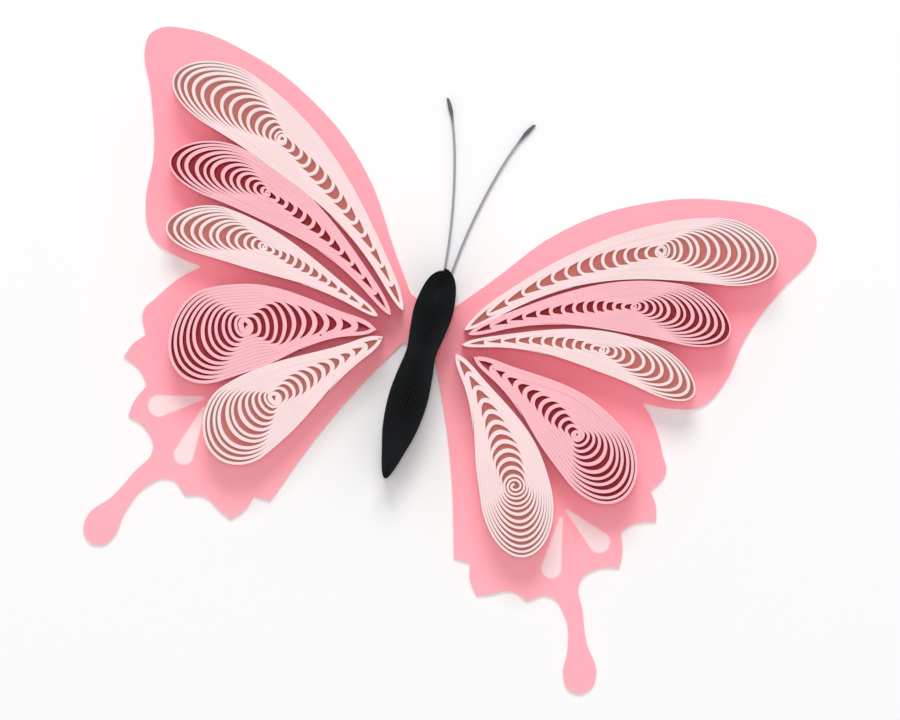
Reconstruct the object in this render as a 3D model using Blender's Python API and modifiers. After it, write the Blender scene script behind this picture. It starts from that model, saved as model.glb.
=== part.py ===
"""A quilled paper butterfly, lying flat with its open coils facing up.

A butterfly is cut from pink card. Five teardrop coils stand on each side of it, a tight black
coil stands down the middle as the body, and two fine card feelers reach forward from under
the head. Each coil is one long strip of paper standing on its edge: it is wound loosely round
an eye and pinched at the end that faces the body, so that its turns pack together along both
flanks, spread as arcs round the far end and leave small arrowheads of empty space behind the tip.

Units are metres. +X points to the right wing, +Y to the head and +Z up from the table. The
origin is on the card's back, under the waist of the body.
"""

import math
from typing import NamedTuple

import bpy
from mathutils import Matrix, Vector
from mathutils.geometry import intersect_line_line_2d

COLLECTION_NAME = "quilled_paper_butterfly"

# Card
WING_HALF_SPAN = 0.02585
WING_HEAD_REACH = 0.0155
WING_TAIL_REACH = 0.02285
CARD_THICKNESS = 0.0003
CARD_CURVE_STEPS = 5

# Paper strips
WING_STRIP_HEIGHT = 0.003
BODY_STRIP_HEIGHT = 0.003
STRIP_THICKNESS = 0.00012
TURN_GAP = 0.00012
TURN_PITCH = STRIP_THICKNESS + TURN_GAP
EYE_HALF_WIDTH = 0.00032
GLUE_GAP = 0.0003

# Wing coils, one length and width for each mirrored pair
FORE_TOP_LENGTH = 0.0236
FORE_TOP_WIDTH = 0.0051
FORE_MIDDLE_LENGTH = 0.0191
FORE_MIDDLE_WIDTH = 0.0046
FORE_LOW_LENGTH = 0.0168
FORE_LOW_WIDTH = 0.0036
HIND_OUTER_LENGTH = 0.0150
HIND_OUTER_WIDTH = 0.0063
HIND_INNER_LENGTH = 0.0150
HIND_INNER_WIDTH = 0.0056
ROOT_RISE = 0.0005

# Body
BODY_LENGTH = 0.0161
BODY_WIDTH = 0.0032
BODY_HEAD_REACH = 0.0041
BODY_SIDE_SHIFT = 0.0002
BODY_LEAN_DEGREES = 1.2
BODY_COIL_GAP = 0.001

# Feelers
FEELER_LENGTH = 0.0133
FEELER_SPREAD = 0.0031
FEELER_ROOT_SPACING = 0.0005
FEELER_SIDE_SHIFT = 0.0005
FEELER_WIDTH = 0.00018
FEELER_TIP_WIDTH = 0.00036
FEELER_TIP_LENGTH = 0.0014
FEELER_TUCK = 0.0011

# Half of the card's outline, from the waist's front edge round the wings to its back edge.
# X is a share of the half span, Y of the reach to the head above 0 and to the tails below.
# A point is smooth, or a corner where the last value is True.
CARD_OUTLINE_SHARES = (
    (0.000, 0.077, False), (0.066, 0.110, True), (0.135, 0.258, False), (0.298, 0.613, False),
    (0.507, 0.858, False), (0.735, 0.984, False), (0.897, 1.000, False), (0.986, 0.948, False),
    (1.000, 0.877, False), (0.944, 0.658, False), (0.886, 0.394, False), (0.863, 0.135, False),
    (0.820, 0.006, False), (0.743, -0.031, False), (0.658, -0.041, True), (0.708, -0.096, False),
    (0.758, -0.183, False), (0.781, -0.236, False), (0.754, -0.306, True), (0.781, -0.345, False),
    (0.795, -0.393, True), (0.743, -0.417, False), (0.708, -0.459, True), (0.731, -0.528, False),
    (0.733, -0.572, True), (0.681, -0.590, False), (0.638, -0.651, False), (0.671, -0.742, False),
    (0.708, -0.834, False), (0.762, -0.926, False), (0.747, -0.987, False), (0.704, -0.998, False),
    (0.673, -0.961, False), (0.662, -0.873, False), (0.627, -0.773, False), (0.565, -0.725, False),
    (0.511, -0.762, True), (0.460, -0.747, False), (0.402, -0.777, False), (0.368, -0.793, True),
    (0.337, -0.751, False), (0.323, -0.699, True), (0.275, -0.699, True), (0.193, -0.432, False),
    (0.099, -0.197, False), (0.046, -0.083, True), (0.000, -0.079, False),
)

# How a teardrop opens: the share of its half width that is pinched flat at the tip, how soon
# that is reached, and how much of the rest opens evenly and not faster and faster.
PINCH_SHARE = 0.15
PINCH_RUN_SHARE = 0.04
EVEN_OPENING_SHARE = 0.5
# Inner turns end bluntly behind the tip: half width and depth as shares of the turn pitch.
BLUNT_HALF_WIDTH_SHARE = 0.9
BLUNT_DEPTH_SHARE = 1.6
# The strip's outer end is glued back along this share of the coil's length.
LAP_SHARE = 0.2
# Points along each flank of a turn, and between a flank and the middle line beyond the eye
FLANK_STATIONS = 4
END_ARC_STATIONS = 2
SEARCH_STEPS = 30

# Half width of the body at places from the head to the tail, as shares of width and length
BODY_OUTLINE_SHARES = (
    (0.04, 0.62), (0.10, 0.86), (0.20, 1.00), (0.30, 0.89), (0.40, 0.75), (0.50, 0.89),
    (0.62, 1.00), (0.76, 0.87), (0.88, 0.54), (0.96, 0.28),
)
BODY_END_STEP_SHARE = 1.4

# A feeler curves outwards all along, and turns out more sharply at its tip.
FEELER_STATIONS = 14
FEELER_BOW_POWER = 1.65
FEELER_CURL_SHARE = 0.15
FEELER_CURL_POWER = 8


class Teardrop(NamedTuple):
    """One pinched coil, drawn from its tip along +X with its bow towards +Y."""

    length: float
    width: float
    bow: float
    widest_share: float
    eye_share: float
    end_share: float
    skew: float


class FanShares(NamedTuple):
    """How one coil of a wing differs from its pair's sizes and follows its neighbour.

    It is turned towards the neighbour until the gap between them is a share of its own tip's
    gap to the neighbour, and then away by the spread.
    """

    length: float
    width: float
    gap: float
    spread_degrees: float
    step_out: float
    step_down: float
    bow: float
    widest: float
    eye: float
    end: float
    skew: float


COIL_SIZES = (
    ("fore_top_coil", FORE_TOP_LENGTH, FORE_TOP_WIDTH),
    ("fore_middle_coil", FORE_MIDDLE_LENGTH, FORE_MIDDLE_WIDTH),
    ("fore_low_coil", FORE_LOW_LENGTH, FORE_LOW_WIDTH),
    ("hind_outer_coil", HIND_OUTER_LENGTH, HIND_OUTER_WIDTH),
    ("hind_inner_coil", HIND_INNER_LENGTH, HIND_INNER_WIDTH),
)

# The maker's hand: the two wings are laid out alike, but not to the last half millimetre.
RIGHT_FAN_SHARES = (
    FanShares(1.01, 1.00, 0.00, 0.0, 0.000, 0.000, 0.112, 0.78, 0.65, 0.16, 0.30),
    FanShares(1.02, 1.00, 0.36, 0.0, 0.086, 0.053, 0.064, 0.78, 0.63, 0.19, 0.40),
    FanShares(1.07, 0.98, 0.26, 0.8, -0.050, 0.230, 0.072, 0.74, 0.58, 0.18, 0.45),
    FanShares(1.00, 0.92, 0.30, 13.4, 0.245, 0.170, 0.072, 0.68, 0.62, 0.23, 0.15),
    FanShares(1.03, 0.97, 0.30, 2.2, -0.245, 0.053, 0.090, 0.66, 0.67, 0.26, 0.00),
)
LEFT_FAN_SHARES = (
    FanShares(1.04, 1.00, 0.00, 0.0, 0.000, 0.000, 0.111, 0.80, 0.63, 0.17, 0.35),
    FanShares(1.06, 0.98, 0.30, 0.0, 0.170, 0.130, 0.068, 0.78, 0.63, 0.19, 0.40),
    FanShares(1.03, 1.10, 0.25, 0.0, 0.210, 0.110, 0.060, 0.76, 0.57, 0.18, 0.55),
    FanShares(1.01, 1.11, 0.30, 8.6, -0.025, 0.200, 0.070, 0.70, 0.62, 0.20, 0.30),
    FanShares(1.01, 1.09, 0.33, 0.0, -0.110, 0.080, 0.042, 0.74, 0.60, 0.20, 0.15),
)
# The first coil's tip, as shares of the gap to the body and of the rise above the waist
RIGHT_ROOT_SHARES = (1.25, 1.0)
LEFT_ROOT_SHARES = (0.65, 1.1)
RIGHT_FIRST_DEGREES = 29.0
LEFT_FIRST_DEGREES = 28.0
# Turned this far from its neighbour, a coil is sure to be clear of it.
CLEAR_DEGREES = 90.0

PALE_PINK = (1.0, 0.75, 0.76)
MIDDLE_PINK = (1.0, 0.47, 0.54)
CARD_PINK = (1.0, 0.42, 0.49)
BLACK = (0.012, 0.011, 0.012)
FEELER_GREY = (0.20, 0.19, 0.24)
COIL_COLOURS = (PALE_PINK, MIDDLE_PINK, PALE_PINK, MIDDLE_PINK, PALE_PINK)
CARD_ROUGHNESS = 0.85
PAPER_ROUGHNESS = 0.7
BLACK_PAPER_ROUGHNESS = 0.5


def clear_objects():
    """Remove what the scene holds."""
    for obj in list(bpy.data.objects):
        bpy.data.objects.remove(obj, do_unlink=True)


def paper(name, colour, roughness):
    """Make a plain paper material."""
    material = bpy.data.materials.new(name)
    material.use_nodes = True
    shader = material.node_tree.nodes["Principled BSDF"]
    shader.inputs["Base Color"].default_value = (*colour, 1.0)
    shader.inputs["Roughness"].default_value = roughness
    shader.inputs["Metallic"].default_value = 0.0
    return material


def add_object(collection, name, data, material, bottom, height):
    """Put a curve that is extruded both ways from its middle on its level."""
    data.materials.append(material)
    obj = bpy.data.objects.new(name, data)
    obj.location.z = bottom + height / 2
    collection.objects.link(obj)
    return obj


def flat_curve(name, height):
    """Start a curve in the XY plane that is extruded to a height."""
    curve = bpy.data.curves.new(name, "CURVE")
    curve.dimensions = "2D"
    curve.extrude = height / 2
    return curve


def poly_spline(curve, points, cyclic):
    """Add straight runs between points."""
    spline = curve.splines.new("POLY")
    spline.points.add(len(points) - 1)
    for spot, (x, y) in zip(spline.points, points):
        spot.co = (x, y, 0.0, 1.0)
    spline.use_cyclic_u = cyclic


def standing_strip(collection, name, points, height, material):
    """Stand a paper strip on its edge along a path, glued to the card."""
    curve = flat_curve(name, height)
    curve.fill_mode = "NONE"
    poly_spline(curve, points, cyclic=False)
    strip = add_object(collection, name, curve, material, CARD_THICKNESS + GLUE_GAP, height)
    solidify = strip.modifiers.new("paper thickness", "SOLIDIFY")
    solidify.thickness = STRIP_THICKNESS
    solidify.offset = 0.0
    return strip


def card_point(across_share, along_share):
    """Turn a pair of outline shares into a place on the card."""
    reach = WING_HEAD_REACH if along_share > 0 else WING_TAIL_REACH
    return across_share * WING_HALF_SPAN, along_share * reach


def add_card(collection):
    """Cut both wings, joined under the body, from one sheet of card."""
    curve = flat_curve("wing_card", CARD_THICKNESS)
    curve.fill_mode = "BOTH"
    curve.resolution_u = CARD_CURVE_STEPS
    half = [(*card_point(across, along), corner) for across, along, corner in CARD_OUTLINE_SHARES]
    mirrored = [(-x, y, corner) for x, y, corner in reversed(half[1:-1])]
    outline = half + mirrored
    spline = curve.splines.new("BEZIER")
    spline.bezier_points.add(len(outline) - 1)
    for spot, (x, y, corner) in zip(spline.bezier_points, outline):
        spot.co = (x, y, 0.0)
        spot.handle_left_type = "VECTOR" if corner else "AUTO"
        spot.handle_right_type = "VECTOR" if corner else "AUTO"
    spline.use_cyclic_u = True
    material = paper("pink card", CARD_PINK, CARD_ROUGHNESS)
    add_object(collection, "wing_card", curve, material, 0.0, CARD_THICKNESS)


def opened_share(place_share):
    """Share of the half width that a teardrop has at a share of the way to its widest place."""
    pinched = 1.0 - math.exp(-place_share / PINCH_RUN_SHARE)
    opening = EVEN_OPENING_SHARE * place_share + (1.0 - EVEN_OPENING_SHARE) * place_share ** 2
    return PINCH_SHARE * pinched + (1.0 - PINCH_SHARE) * opening


def place_of_opening(wanted_share):
    """Find where a teardrop reaches a share of its half width, by halving the range."""
    low, high = 0.0, 1.0
    for _ in range(SEARCH_STEPS):
        middle = (low + high) / 2
        if opened_share(middle) < wanted_share:
            low = middle
        else:
            high = middle
    return (low + high) / 2


def half_width(coil, along, turn):
    """Distance of a turn from the coil's middle line on its flank."""
    place_share = min(along / (coil.widest_share * coil.length), 1.0)
    return coil.width / 2 * opened_share(place_share) - turn * TURN_PITCH


def turn_count(coil):
    """Whole turns that fit between the outline and the eye."""
    return int((half_width(coil, coil.eye_share * coil.length, 0) - EYE_HALF_WIDTH) / TURN_PITCH)


def turn_tip(coil, turn, blunt):
    """Where a turn starts behind the coil's tip."""
    wanted = (turn * TURN_PITCH + blunt) / (coil.width / 2)
    return coil.widest_share * coil.length * place_of_opening(wanted)


def turn_end(coil, turn, turns):
    """Where a turn leaves the flank, and where it crosses the middle line beyond the eye."""
    eye = coil.eye_share * coil.length
    shoulder = coil.length * (1.0 - coil.end_share)
    inward_share = turn / turns
    crossing = coil.length - (coil.length - eye - EYE_HALF_WIDTH) * inward_share
    return shoulder + (eye - shoulder) * inward_share, crossing


def bowed(coil, along, across):
    """Place a point beside the coil's middle line, which bows like a leaf.

    Beyond the eye the lower flank is drawn forward and the upper one back.
    """
    eye = coil.eye_share * coil.length
    along -= coil.skew * across * max(along - eye, 0.0) / (coil.length - eye)
    travel = along / coil.length
    rise = 4 * coil.bow * travel * (1 - travel)
    slope = 4 * coil.bow / coil.length * (1 - 2 * travel)
    norm = math.hypot(1.0, slope)
    return along - across * slope / norm, rise + across / norm


def flank_points(coil, turn, turns, tip):
    """Points of half a turn, from behind its tip to the arc round the eye."""
    station_step = coil.length * (1.0 - coil.end_share) / (FLANK_STATIONS + 1)
    shoulder, crossing = turn_end(coil, turn, turns)
    stations = [number * station_step for number in range(1, FLANK_STATIONS + 1)]
    kept = [along for along in stations if tip + station_step / 3 < along < shoulder - station_step / 4]
    points = [(along, half_width(coil, along, turn)) for along in kept]
    shoulder_width = half_width(coil, shoulder, turn)
    for number in range(END_ARC_STATIONS + 1):
        angle = math.pi / 2 * number / (END_ARC_STATIONS + 1)
        along = shoulder + (crossing - shoulder) * math.sin(angle)
        points.append((along, shoulder_width * math.cos(angle)))
    return points


def blunt_points(coil, turn, tip):
    """The rounded start of one half of an inner turn, outwards from the middle line."""
    depth = BLUNT_DEPTH_SHARE * TURN_PITCH
    width = half_width(coil, tip + depth, turn)
    angle = math.pi / 4
    return [(tip + depth * (1 - math.cos(angle)), width * math.sin(angle)), (tip + depth, width)]


def teardrop_path(coil):
    """The paper strip's path from its glued outer end to the eye."""
    turns = turn_count(coil)
    blunt = BLUNT_HALF_WIDTH_SHARE * TURN_PITCH
    lap = LAP_SHARE * coil.length
    path = [(lap, -half_width(coil, lap, 0)), (0.0, 0.0)]
    for turn in range(turns):
        tip = turn_tip(coil, turn, blunt) if turn else 0.0
        near, far = turn + 0.25, turn + 0.75
        rise = blunt_points(coil, near, tip) if turn else []
        rise += flank_points(coil, near, turns, tip)
        next_tip = turn_tip(coil, turn + 1, blunt)
        fall = blunt_points(coil, far, next_tip) + flank_points(coil, far, turns, next_tip)
        path += rise
        path.append((turn_end(coil, turn + 0.5, turns)[1], 0.0))
        path += [(along, -across) for along, across in reversed(fall)]
        path.append((next_tip, 0.0))
    return [bowed(coil, along, across) for along, across in path]


def coil_edge(coil):
    """The coil's outer edge, all the way round from its tip."""
    flank = flank_points(coil, 0, turn_count(coil), 0.0)
    far_side = [(along, -across) for along, across in reversed(flank[:-1])]
    return [bowed(coil, along, across) for along, across in [(0.0, 0.0)] + flank + far_side]


def placed(points, root, angle):
    """Swing points about a coil's tip and carry them to its root."""
    swing = Matrix.Rotation(angle, 2)
    return [root + swing @ Vector(point) for point in points]


def distance_to_edge(point, start, end):
    """Distance from a point to a straight run."""
    run = end - start
    share = (point - start).dot(run) / run.length_squared
    return (point - start - min(max(share, 0.0), 1.0) * run).length


def straight_runs(outline):
    """The straight runs that close round an outline."""
    return list(zip(outline, outline[1:] + outline[:1]))


def distance_to_outline(points, outline):
    """Least distance from any of the points to an outline."""
    runs = straight_runs(outline)
    return min(distance_to_edge(point, start, end) for point in points for start, end in runs)


def gap_between(outline, other):
    """Gap between two outlines, or none where they cross."""
    pairs = ((run, facing) for run in straight_runs(outline) for facing in straight_runs(other))
    if any(intersect_line_line_2d(*run, *facing) for run, facing in pairs):
        return 0.0
    return min(distance_to_outline(outline, other), distance_to_outline(other, outline))


def resting_angle(coil, root, neighbour, neighbour_angle, gap_share):
    """Turn a coil towards its neighbour until only their gap is left, by halving the range."""
    edge = coil_edge(coil)
    wanted = gap_share * distance_to_outline([root], neighbour)
    clear, crossed = neighbour_angle - math.radians(CLEAR_DEGREES), neighbour_angle
    for _ in range(SEARCH_STEPS):
        middle = (clear + crossed) / 2
        if gap_between(placed(edge, root, middle), neighbour) > wanted:
            clear = middle
        else:
            crossed = middle
    return clear


def add_fan(collection, side, shares, root_shares, first_degrees):
    """Fan a wing's five coils out from the waist, each laid beside the one before."""
    mirror = 1 if side == "right" else -1
    beside_body = BODY_WIDTH / 2 + mirror * BODY_SIDE_SHIFT + root_shares[0] * BODY_COIL_GAP
    root = Vector((beside_body, root_shares[1] * ROOT_RISE))
    angle = math.radians(first_degrees)
    neighbour, neighbour_width = None, 0.0
    for (name, length, width), share, colour in zip(COIL_SIZES, shares, COIL_COLOURS):
        coil = Teardrop(
            length * share.length, width * share.width, length * share.length * share.bow,
            share.widest, share.eye, share.end, share.skew,
        )
        if neighbour:
            mean_width = (neighbour_width + coil.width) / 2
            root = root + Vector((share.step_out, -share.step_down)) * mean_width
            angle = resting_angle(coil, root, neighbour, angle, share.gap)
            angle -= math.radians(share.spread_degrees)
        points = [(mirror * x, y) for x, y in placed(teardrop_path(coil), root, angle)]
        node = f"{side}_{name}"
        material = paper(node, colour, PAPER_ROUGHNESS)
        standing_strip(collection, node, points, WING_STRIP_HEIGHT, material)
        neighbour, neighbour_width = placed(coil_edge(coil), root, angle), coil.width


def body_turn(turn):
    """Places and half widths down one turn of the body, with both ends drawn in."""
    inset = turn * BODY_END_STEP_SHARE * TURN_PITCH
    narrowing = 1.0 - turn * TURN_PITCH / (BODY_WIDTH / 2)
    run = BODY_LENGTH - 2 * inset
    return [
        (inset + place * run, BODY_WIDTH / 2 * width * narrowing)
        for place, width in BODY_OUTLINE_SHARES
    ]


def body_path():
    """The black strip's path, wound tight and pinched to a point at head and tail."""
    turns = int(BODY_WIDTH / 2 / TURN_PITCH)
    path = [(body_turn(0)[1][0], -body_turn(0)[1][1]), (0.0, 0.0)]
    for turn in range(turns):
        tail = BODY_LENGTH - (turn + 0.5) * BODY_END_STEP_SHARE * TURN_PITCH
        head = (turn + 1) * BODY_END_STEP_SHARE * TURN_PITCH
        path += body_turn(turn + 0.25)
        path.append((tail, 0.0))
        path += [(along, -across) for along, across in reversed(body_turn(turn + 0.75))]
        path.append((head, 0.0))
    lean = Matrix.Rotation(math.radians(BODY_LEAN_DEGREES), 2)
    upright = [Vector((BODY_SIDE_SHIFT + across, BODY_HEAD_REACH - along)) for along, across in path]
    return [tuple(lean @ place) for place in upright]


def feeler_outline(side):
    """Both edges of a feeler, fine along its length and swollen before its tip."""
    root_y = BODY_HEAD_REACH - FEELER_TUCK
    left_edge, right_edge = [], []
    for station in range(FEELER_STATIONS + 1):
        travel = math.sin(math.pi / 2 * station / FEELER_STATIONS)
        curl = FEELER_CURL_SHARE * travel ** FEELER_CURL_POWER
        outward = (1 - FEELER_CURL_SHARE) * travel ** FEELER_BOW_POWER + curl
        tip_share = max(0.0, 1.0 - (1.0 - travel) * FEELER_LENGTH / FEELER_TIP_LENGTH)
        swelling = (FEELER_TIP_WIDTH - FEELER_WIDTH) * math.sin(math.pi * tip_share)
        half = (FEELER_WIDTH + swelling) / 2
        spread = FEELER_ROOT_SPACING / 2 + outward * FEELER_SPREAD
        x = FEELER_SIDE_SHIFT * (1 - travel) + side * spread
        y = root_y + travel * FEELER_LENGTH
        left_edge.append((x - half, y))
        right_edge.append((x + half, y))
    return left_edge + right_edge[::-1]


def add_feeler(collection, name, side, material):
    """Cut a feeler from card and lay it forward from under the head."""
    curve = flat_curve(name, CARD_THICKNESS)
    curve.fill_mode = "BOTH"
    poly_spline(curve, feeler_outline(side), cyclic=True)
    add_object(collection, name, curve, material, 0.0, CARD_THICKNESS)


def build():
    """Build the whole butterfly."""
    clear_objects()
    collection = bpy.data.collections.new(COLLECTION_NAME)
    bpy.context.scene.collection.children.link(collection)
    add_card(collection)
    add_fan(collection, "left", LEFT_FAN_SHARES, LEFT_ROOT_SHARES, LEFT_FIRST_DEGREES)
    add_fan(collection, "right", RIGHT_FAN_SHARES, RIGHT_ROOT_SHARES, RIGHT_FIRST_DEGREES)
    black_material = paper("black paper", BLACK, BLACK_PAPER_ROUGHNESS)
    standing_strip(collection, "body_coil", body_path(), BODY_STRIP_HEIGHT, black_material)
    feeler_material = paper("grey card", FEELER_GREY, CARD_ROUGHNESS)
    add_feeler(collection, "left_antenna", -1, feeler_material)
    add_feeler(collection, "right_antenna", 1, feeler_material)


build()
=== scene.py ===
"""Looks of a quilled paper butterfly: wound coils, paper and card finishes, light and camera.

The solids of the frame stay where they are. The wing card and the feelers are dressed in place.
Each coil and the body is replaced by one strip of paper, wound as finely as the real one, with a
thin plate under it whose colour is painted shade and painted light for the floor between the
turns. It follows the solid's tip, reach and width. Lengths are in metres, +Z is
up and +Y points to the head.
"""

import logging
import math
import random
from dataclasses import dataclass
from enum import Enum
from typing import Any, ClassVar, Iterator, Mapping, NamedTuple, Sequence, Union

import bpy
from mathutils import Matrix, Vector


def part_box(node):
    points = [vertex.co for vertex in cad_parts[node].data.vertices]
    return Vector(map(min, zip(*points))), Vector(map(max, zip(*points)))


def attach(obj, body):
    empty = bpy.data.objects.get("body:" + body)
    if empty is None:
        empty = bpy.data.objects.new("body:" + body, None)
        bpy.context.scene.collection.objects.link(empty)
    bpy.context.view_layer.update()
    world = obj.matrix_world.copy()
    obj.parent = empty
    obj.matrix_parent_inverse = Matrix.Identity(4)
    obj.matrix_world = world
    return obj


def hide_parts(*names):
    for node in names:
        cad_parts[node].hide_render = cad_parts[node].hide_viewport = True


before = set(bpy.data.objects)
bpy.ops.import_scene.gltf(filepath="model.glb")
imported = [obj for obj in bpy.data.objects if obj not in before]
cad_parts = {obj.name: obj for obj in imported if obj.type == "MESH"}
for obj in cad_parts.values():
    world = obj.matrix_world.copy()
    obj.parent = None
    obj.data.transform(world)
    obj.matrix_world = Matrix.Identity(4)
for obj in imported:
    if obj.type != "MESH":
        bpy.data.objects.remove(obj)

LOG = logging.getLogger("butterfly")
BODY_NAME = "root"
MM = 0.001
PLAN_DECIMALS = 7
WHITE = (1.0, 1.0, 1.0, 1.0)
BLOTCH_DETAIL = 2.0
NOISE_MIDDLE = 0.5
HALF_TURN = 0.5
# Upward part of the normal: at most the first on a side, at least the second on a flat face
SIDE_FACING, FLAT_FACING = 0.5, 0.9

Colour = tuple[float, float, float]
Point = tuple[float, float]
Number = Union[float, "Value"]


def cad_node(name: str) -> bpy.types.Object:
    """Look up a solid of the frame, which stays where it is."""
    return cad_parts[name]


def plan_points(name: str) -> list[Vector]:
    """Read the X and Y of a solid's corners, each place once."""
    corners = cad_node(name).data.vertices
    spots = {tuple(round(value, PLAN_DECIMALS) for value in corner.co[:2]) for corner in corners}
    return [Vector(spot) for spot in sorted(spots)]


class Value:
    """A shader socket that holds a number, whose arithmetic adds Math nodes."""

    def __init__(self, shader: "Shader", socket: bpy.types.NodeSocket) -> None:
        """Wrap a node's output socket."""
        self.shader = shader
        self.socket = socket

    def __add__(self, other: Number) -> "Value":
        """Add a number or another socket."""
        return self.shader.maths("ADD", self, other)

    def __sub__(self, other: Number) -> "Value":
        """Subtract a number or another socket."""
        return self.shader.maths("SUBTRACT", self, other)

    def __rsub__(self, other: Number) -> "Value":
        """Subtract this from a number."""
        return self.shader.maths("SUBTRACT", other, self)

    def __mul__(self, other: Number) -> "Value":
        """Multiply by a number or another socket."""
        return self.shader.maths("MULTIPLY", self, other)

    def __truediv__(self, other: Number) -> "Value":
        """Divide by a number or another socket."""
        return self.shader.maths("DIVIDE", self, other)

    def __abs__(self) -> "Value":
        """Drop the sign."""
        return self.shader.maths("ABSOLUTE", self)

    __radd__ = __add__

    def ramp(self, start: float, end: float) -> "Value":
        """Rise smoothly from 0 at start to 1 at end, or fall where end is the lower.

        Args:
            start: The value that gives 0.
            end: The value that gives 1.

        Returns:
            The eased share, held between 0 and 1.
        """
        node = self.shader.node(
            "ShaderNodeMapRange",
            {"interpolation_type": "SMOOTHSTEP"},
            {"Value": self, "From Min": min(start, end), "From Max": max(start, end)},
        )
        eased = Value(self.shader, node.outputs["Result"])
        return eased if end > start else 1 - eased

    def held(self) -> "Value":
        """Hold the value between 0 and 1."""
        return self.shader.maths("ADD", self, 0.0, clamp=True)


class Shader:
    """A material's node tree, built up from expressions."""

    MIX_FACTOR = 0
    MIX_COLOURS = (6, 7)
    MIX_RESULT = 2

    def __init__(self, name: str) -> None:
        """Start an empty material of that name."""
        self.material = bpy.data.materials.new(name)
        self.material.use_nodes = True
        self.tree = self.material.node_tree
        self.tree.nodes.clear()

    def node(
        self,
        kind: str,
        settings: Mapping[str, Any] | None = None,
        inputs: Mapping[str | int, Any] | None = None,
    ) -> bpy.types.Node:
        """Add a node.

        Args:
            kind: The node's type.
            settings: Its properties, which are set first.
            inputs: Values or links of its sockets, by name or place.

        Returns:
            The new node.
        """
        node = self.tree.nodes.new(kind)
        for key, value in (settings or {}).items():
            setattr(node, key, value)
        for key, value in (inputs or {}).items():
            if isinstance(value, Value):
                value = value.socket
            if isinstance(value, bpy.types.NodeSocket):
                self.tree.links.new(value, node.inputs[key])
            else:
                node.inputs[key].default_value = value
        return node

    def maths(self, operation: str, *terms: Number, clamp: bool = False) -> Value:
        """Add a Math node.

        Args:
            operation: Its operation.
            terms: One to three numbers or sockets.
            clamp: Whether to hold the result between 0 and 1.

        Returns:
            Its result.
        """
        settings = {"operation": operation, "use_clamp": clamp}
        node = self.node("ShaderNodeMath", settings, dict(enumerate(terms)))
        return Value(self, node.outputs[0])

    def place(self) -> bpy.types.NodeSocket:
        """Give the place on the surface, in metres in the object's own frame."""
        return self.node("ShaderNodeTexCoord").outputs["Object"]

    def axes(self, vector: bpy.types.NodeSocket) -> tuple[Value, Value, Value]:
        """Split a vector into its X, Y and Z."""
        parts = self.node("ShaderNodeSeparateXYZ", inputs={"Vector": vector})
        return tuple(Value(self, parts.outputs[axis]) for axis in "XYZ")

    def facing_up(self) -> Value:
        """Give the upward part of the surface's own normal."""
        geometry = self.node("ShaderNodeNewGeometry")
        return self.axes(geometry.outputs["True Normal"])[2]

    def noise(self, grain: float, detail: float = 3.0) -> Value:
        """Add soft noise that averages a half.

        Args:
            grain: Size of its blotches, in metres.
            detail: Octaves of finer noise on it.

        Returns:
            The noise, from 0 to 1.
        """
        inputs = {"Vector": self.place(), "Scale": 1.0 / grain, "Detail": detail}
        return Value(self, self.node("ShaderNodeTexNoise", inputs=inputs).outputs["Fac"])

    def blend(self, share: Number, first: Any, second: Any) -> bpy.types.NodeSocket:
        """Mix two colours.

        Args:
            share: How much of the second shows.
            first: A colour or its socket.
            second: A colour or its socket.

        Returns:
            The mixed colour.
        """
        sockets = dict(zip(self.MIX_COLOURS, (opaque(first), opaque(second))))
        settings = {"data_type": "RGBA", "clamp_factor": True}
        node = self.node("ShaderNodeMix", settings, {self.MIX_FACTOR: share, **sockets})
        return node.outputs[self.MIX_RESULT]

    def shaded(self, colour: Any, level: Value) -> bpy.types.NodeSocket:
        """Darken or lighten a colour.

        Args:
            colour: A colour or its socket.
            level: What its parts are multiplied by.

        Returns:
            The changed colour.
        """
        inputs = {0: colour, "Scale": level}
        node = self.node("ShaderNodeVectorMath", {"operation": "SCALE"}, inputs)
        return node.outputs["Vector"]

    def bump(self, height: Value, depth: float) -> bpy.types.NodeSocket:
        """Turn a height into a bumped normal.

        Args:
            height: The height, from 0 to 1.
            depth: How far 1 stands above 0, in metres.

        Returns:
            The normal.
        """
        inputs = {"Height": height, "Distance": depth}
        return self.node("ShaderNodeBump", inputs=inputs).outputs["Normal"]

    def finish(self, inputs: Mapping[str, Any]) -> bpy.types.Material:
        """End with a Principled shader.

        Args:
            inputs: Values or links of its sockets.

        Returns:
            The finished material.
        """
        shader = self.node("ShaderNodeBsdfPrincipled", inputs=inputs)
        self.node("ShaderNodeOutputMaterial", inputs={"Surface": shader.outputs["BSDF"]})
        return self.material


def opaque(colour: Any) -> Any:
    """Give a colour tuple its alpha, and pass a socket or a number on."""
    return (*colour, 1.0) if isinstance(colour, tuple) else colour


def varied(middle: float, depth: float, *noises: Value) -> Value:
    """Vary a value by noises.

    Args:
        middle: What it is on average.
        depth: How far each noise moves it, from its lowest to its highest.
        noises: Noises that average a half.

    Returns:
        The varied value.
    """
    level: Number = middle
    for noise in noises:
        level = level + (noise - NOISE_MIDDLE) * depth
    return level


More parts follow.
